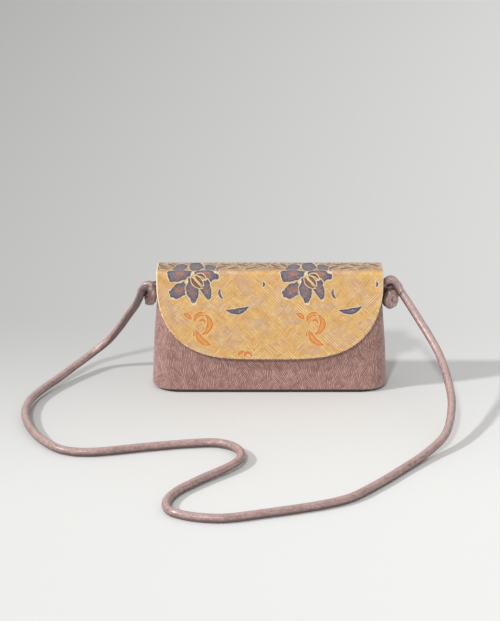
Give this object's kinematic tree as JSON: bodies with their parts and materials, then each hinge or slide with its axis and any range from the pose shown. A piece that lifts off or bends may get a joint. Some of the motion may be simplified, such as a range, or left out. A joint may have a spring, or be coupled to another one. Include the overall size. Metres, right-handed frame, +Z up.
{
  "type": "crossbody bag",
  "caption": "Small wedge-shaped fabric crossbody bag with a rounded brocade flap, a magnetic snap and a long knotted fabric cord strap.",
  "frame": {"origin": "middle of the flat base, on the surface the bag stands on", "axes": "+X along the bag's width, to the right in a front view; +Y to the back; +Z up"},
  "size_m": [0.4114, 0.3603, 0.1227],
  "materials": {
    "mauve_jacquard": "dusty mauve jacquard with fine needle-like lighter threads",
    "mauve_satin": "satin-faced mauve cloth over a soft cord",
    "gold_brocade": "gold floral brocade with a woven fret ground",
    "grey_weft": "blue-grey brocade weft",
    "rust_weft": "rust brocade weft",
    "lining_cloth": "plain woven lining",
    "stiff_cloth": "firm interlining felt",
    "grey_board": "thin stiff bag board",
    "satin_steel": "satin nickel-plated steel"
  },
  "bodies": {
    "pouch": {"shell_front": "mauve_jacquard", "shell_back": "mauve_jacquard", "base_panel": "mauve_jacquard", "base_board": "grey_board", "lining_front": "lining_cloth", "lining_back": "lining_cloth", "snap_socket": "satin_steel", "snap_socket_washer": "satin_steel", "strap_cord": "mauve_satin", "strap_knot_left": "mauve_satin", "strap_knot_right": "mauve_satin"},
    "flap": {"flap_brocade": "gold_brocade", "flap_stiffener": "stiff_cloth", "flap_lining": "lining_cloth", "snap_stud": "satin_steel", "snap_stud_washer": "satin_steel", "flower_left": "grey_weft", "flower_right": "grey_weft", "flower_heart_left": "rust_weft", "flower_heart_right": "rust_weft", "leaf_left": "grey_weft", "leaf_right": "grey_weft", "crescent_left": "grey_weft", "crescent_right": "grey_weft", "sprig_left": "rust_weft", "sprig_right": "rust_weft", "tuft": "rust_weft"}
  },
  "joints": [
    {"name": "flap_hinge", "type": "hinge", "parent": "pouch", "child": "flap", "pos_m": [0, 0.0128, 0.1198], "axis": [-1, 0, 0], "range_deg": [0, 180]}
  ]
}
